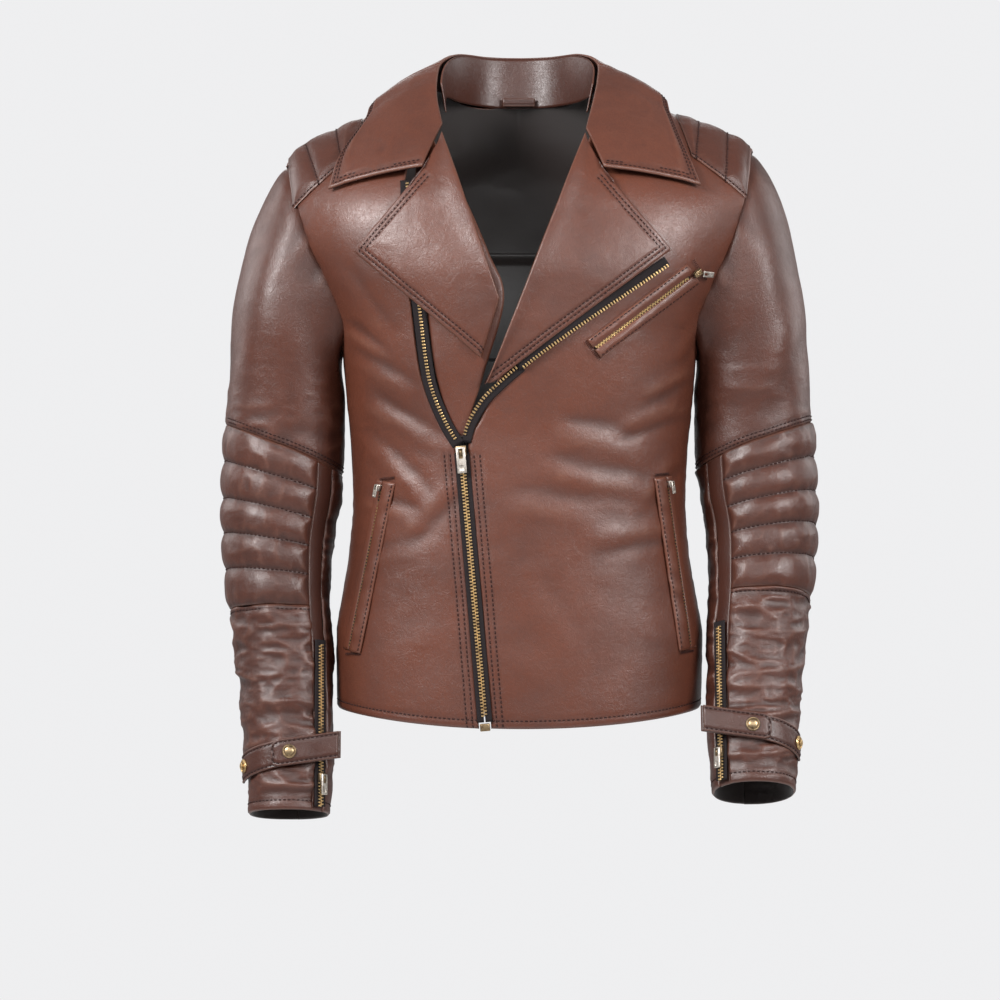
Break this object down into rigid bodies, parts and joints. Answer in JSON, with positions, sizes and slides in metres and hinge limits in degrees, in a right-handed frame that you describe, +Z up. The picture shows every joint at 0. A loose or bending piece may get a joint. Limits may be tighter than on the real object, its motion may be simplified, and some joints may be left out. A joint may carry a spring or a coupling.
{
  "type": "leather riding jacket",
  "caption": "Brown leather riding jacket with an offset front zip, folded lapels, quilted shoulders and forearms, zipped cuffs and snap straps.",
  "frame": {"origin": "hanger loop inside the back of the neck, where the jacket is hung up", "axes": "+Z up, the front of the jacket faces -Y, the left side of the wearer is +X"},
  "size_m": [0.5716, 0.2622, 0.7485],
  "materials": {
    "leather": "semi-gloss waxed cowhide",
    "dark_leather": "darker trim leather",
    "lining": "woven satin",
    "zip_tape": "woven tape with metal teeth",
    "brass": "antique brass",
    "nickel": "worn nickel"
  },
  "bodies": {
    "torso": {"right_front_panel": "leather", "left_front_panel": "leather", "right_underlap": "leather", "back_panel": "leather", "back_yoke": "leather", "right_shoulder_quilt": "leather", "left_shoulder_quilt": "leather", "back_lining": "lining", "right_front_lining": "lining", "left_front_lining": "lining", "collar_fall": "leather", "collar_stand": "leather", "hanger_loop": "dark_leather", "right_zip_chain_closed": "zip_tape", "left_zip_chain_closed": "zip_tape", "right_zip_chain_open": "zip_tape", "left_zip_chain_open": "zip_tape", "zip_retainer_box": "brass", "chest_pocket_upper_welt": "leather", "chest_pocket_lower_welt": "leather", "chest_pocket_zip": "zip_tape", "right_hand_pocket_welt": "leather", "left_hand_pocket_welt": "leather"},
    "left_lapel": {"left_lapel": "leather", "left_lapel_zip_chain": "zip_tape"},
    "right_lapel": {"right_lapel": "leather"},
    "left_collar_wing": {"left_collar_wing": "leather"},
    "right_collar_wing": {"right_collar_wing": "leather"},
    "main_slider": {"main_slider": "brass"},
    "main_pull": {"main_pull": "nickel"},
    "chest_pocket_slider": {"chest_pocket_slider": "brass"},
    "chest_pocket_pull": {"chest_pocket_pull": "nickel"},
    "right_hand_pocket_slider": {"right_hand_pocket_slider": "brass"},
    "right_hand_pocket_pull": {"right_hand_pocket_pull": "nickel"},
    "left_hand_pocket_slider": {"left_hand_pocket_slider": "brass"},
    "left_hand_pocket_pull": {"left_hand_pocket_pull": "nickel"},
    "right_sleeve_slider": {"right_sleeve_slider": "brass"},
    "right_sleeve_pull": {"right_sleeve_pull": "nickel"},
    "left_sleeve_slider": {"left_sleeve_slider": "brass"},
    "left_sleeve_pull": {"left_sleeve_pull": "nickel"},
    "right_sleeve": {"right_upper_sleeve": "leather"},
    "right_forearm": {"right_forearm_quilt": "leather", "right_wrist_panel": "leather", "right_under_sleeve": "leather", "right_zip_gusset": "dark_leather", "right_sleeve_zip_chain": "zip_tape", "right_strap_base": "dark_leather", "right_snap_stud": "brass"},
    "right_strap_tab": {"right_strap_tab": "dark_leather", "right_snap_cap": "brass"},
    "left_sleeve": {"left_upper_sleeve": "leather"},
    "left_forearm": {"left_forearm_quilt": "leather", "left_wrist_panel": "leather", "left_under_sleeve": "leather", "left_zip_gusset": "dark_leather", "left_sleeve_zip_chain": "zip_tape", "left_strap_base": "dark_leather", "left_snap_stud": "brass"},
    "left_strap_tab": {"left_strap_tab": "dark_leather", "left_snap_cap": "brass"}
  },
  "joints": [
    {"name": "right_sleeve_swing", "type": "hinge", "parent": "torso", "child": "right_sleeve", "pos_m": [-0.215, -0.062, -0.062], "axis": [0, 1, 0], "range_deg": [0, 50]},
    {"name": "right_elbow_bend", "type": "hinge", "parent": "right_sleeve", "child": "right_forearm", "pos_m": [-0.227, -0.134, -0.345], "axis": [-1, 0, 0], "range_deg": [0, 90]},
    {"name": "left_sleeve_swing", "type": "hinge", "parent": "torso", "child": "left_sleeve", "pos_m": [0.215, -0.062, -0.052], "axis": [0, -1, 0], "range_deg": [0, 50]},
    {"name": "left_elbow_bend", "type": "hinge", "parent": "left_sleeve", "child": "left_forearm", "pos_m": [0.227, -0.134, -0.342], "axis": [-1, 0, 0], "range_deg": [0, 90]},
    {"name": "right_collar_flip", "type": "hinge", "parent": "torso", "child": "right_collar_wing", "pos_m": [-0.074, -0.098, -0.003], "axis": [-0.02, 0.7689, 0.6391], "range_deg": [0, 45]},
    {"name": "left_collar_flip", "type": "hinge", "parent": "torso", "child": "left_collar_wing", "pos_m": [0.068, -0.1, -0.004], "axis": [-0.0598, -0.7677, -0.6381], "range_deg": [0, 45]},
    {"name": "right_lapel_lift", "type": "hinge", "parent": "torso", "child": "right_lapel", "pos_m": [-0.072, -0.1575, -0.052], "axis": [-0.2999, 0.2999, 0.9056], "range_deg": [0, 30]},
    {"name": "left_lapel_lift", "type": "hinge", "parent": "torso", "child": "left_lapel", "pos_m": [0.06, -0.1575, -0.054], "axis": [-0.358, -0.1967, -0.9128], "range_deg": [0, 45]},
    {"name": "main_zip_run", "type": "slide", "parent": "torso", "child": "main_slider", "axis": [0.0856, -0.0268, -0.996], "range_m": [0, 0.238]},
    {"name": "main_pull_swing", "type": "hinge", "parent": "main_slider", "child": "main_pull", "pos_m": [-0.05549, -0.19454, -0.3454], "axis": [-0.9809, 0.1728, -0.089], "range_deg": [0, 110]},
    {"name": "chest_pocket_zip_run", "type": "slide", "parent": "torso", "child": "chest_pocket_slider", "axis": [-0.7395, -0.3472, -0.5767], "range_m": [0, 0.06]},
    {"name": "chest_pocket_pull_swing", "type": "hinge", "parent": "chest_pocket_slider", "child": "chest_pocket_pull", "pos_m": [0.17166, -0.16439, -0.18225], "axis": [-0.1344, 0.1792, -0.9746], "range_deg": [0, 120]},
    {"name": "right_hand_pocket_zip_run", "type": "slide", "parent": "torso", "child": "right_hand_pocket_slider", "axis": [-0.2027, 0.1108, -0.973], "range_m": [0, 0.14]},
    {"name": "right_hand_pocket_pull_swing", "type": "hinge", "parent": "right_hand_pocket_slider", "child": "right_hand_pocket_pull", "pos_m": [-0.13445, -0.15889, -0.37959], "axis": [-0.7287, 0.6467, 0.2254], "range_deg": [0, 110]},
    {"name": "left_hand_pocket_zip_run", "type": "slide", "parent": "torso", "child": "left_hand_pocket_slider", "axis": [0.1471, 0.0565, -0.9875], "range_m": [0, 0.14]},
    {"name": "left_hand_pocket_pull_swing", "type": "hinge", "parent": "left_hand_pocket_slider", "child": "left_hand_pocket_pull", "pos_m": [0.14345, -0.14916, -0.37596], "axis": [-0.6592, -0.7388, -0.1405], "range_deg": [0, 110]},
    {"name": "right_sleeve_zip_run", "type": "slide", "parent": "right_forearm", "child": "right_sleeve_slider", "axis": [-0.0181, 0.1724, 0.9849], "range_m": [0, 0.1]},
    {"name": "right_sleeve_pull_swing", "type": "hinge", "parent": "right_sleeve_slider", "child": "right_sleeve_pull", "pos_m": [-0.18393, -0.14982, -0.6515], "axis": [-0.7094, -0.6964, 0.1089], "range_deg": [0, 110]},
    {"name": "left_sleeve_zip_run", "type": "slide", "parent": "left_forearm", "child": "left_sleeve_slider", "axis": [0.012, 0.2926, 0.9562], "range_m": [0, 0.09]},
    {"name": "left_sleeve_pull_swing", "type": "hinge", "parent": "left_sleeve_slider", "child": "left_sleeve_pull", "pos_m": [0.18296, -0.1792, -0.62385], "axis": [-0.7162, 0.6698, -0.196], "range_deg": [0, 110]},
    {"name": "right_strap_open", "type": "hinge", "parent": "right_forearm", "child": "right_strap_tab", "pos_m": [-0.1686, -0.15459, -0.62284], "axis": [-0.0267, 0.1532, 0.9878], "range_deg": [0, 110]},
    {"name": "left_strap_open", "type": "hinge", "parent": "left_forearm", "child": "left_strap_tab", "pos_m": [0.1686, -0.17894, -0.59592], "axis": [-0.0276, -0.2855, -0.958], "range_deg": [0, 110]}
  ]
}
